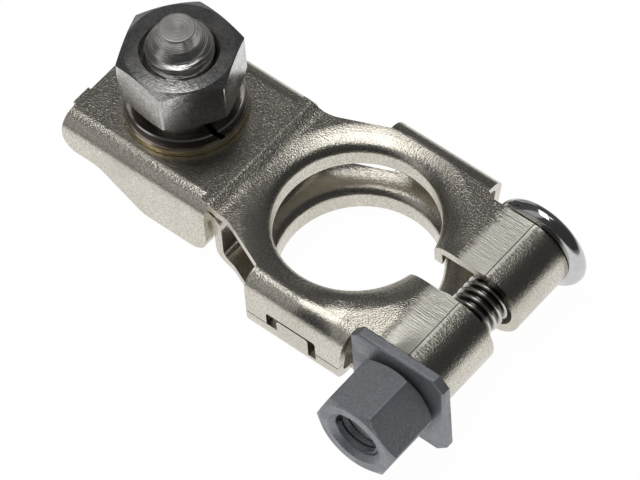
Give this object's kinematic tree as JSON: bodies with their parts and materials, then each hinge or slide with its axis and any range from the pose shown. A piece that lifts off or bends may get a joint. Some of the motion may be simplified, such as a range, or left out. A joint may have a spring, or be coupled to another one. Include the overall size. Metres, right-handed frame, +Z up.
{
  "type": "battery terminal clamp",
  "caption": "Folded sheet clamp that grips a battery post between rolled jaws drawn together by a cross bolt, with a threaded stud and nut for the cable lug.",
  "frame": {"origin": "on the axis of the post hole, level with the lower rim of the hole", "axes": "+X from the cable stud to the jaws, +Y along the clamp bolt from its nut to its head, +Z up along the post"},
  "size_m": [0.059, 0.0357, 0.0265],
  "materials": {
    "plated_sheet": "matt tin plate, finely speckled",
    "satin_steel": "satin",
    "yellow_zinc": "thin yellow zinc plate",
    "bright_plate": "polished",
    "zinc_flake": "matt grey zinc flake"
  },
  "bodies": {
    "clamp": {"clamp_body": "plated_sheet", "stud_bolt": "satin_steel", "clamp_bolt": "bright_plate"},
    "lug_washers": {"flat_washer": "yellow_zinc", "spring_washer": "yellow_zinc"},
    "stud_nut": {"stud_nut": "satin_steel"},
    "plate": {"square_washer": "zinc_flake"},
    "clamp_nut": {"clamp_nut": "zinc_flake"}
  },
  "joints": [
    {"name": "washers_lift", "type": "slide", "parent": "clamp", "child": "lug_washers", "axis": [0, 0, 1], "range_m": [0, 0.005]},
    {"name": "stud_nut_turn", "type": "hinge", "parent": "lug_washers", "child": "stud_nut", "pos_m": [-0.025, 0, 0.01625], "axis": [0, 0, 1], "range_deg": [0, 1441]},
    {"name": "plate_slide", "type": "slide", "parent": "clamp", "child": "plate", "axis": [0, -1, 0], "range_m": [-0.0005, 0.004]},
    {"name": "clamp_nut_turn", "type": "hinge", "parent": "plate", "child": "clamp_nut", "pos_m": [0.0167, -0.0139, 0.0067], "axis": [0, -1, 0], "range_deg": [-181, 1441]}
  ],
  "couplings": [
    {"joint": "stud_nut_turn", "follows": "washers_lift", "rad_per_m": 5026.5},
    {"joint": "clamp_nut_turn", "follows": "plate_slide", "rad_per_m": 6283.2}
  ]
}
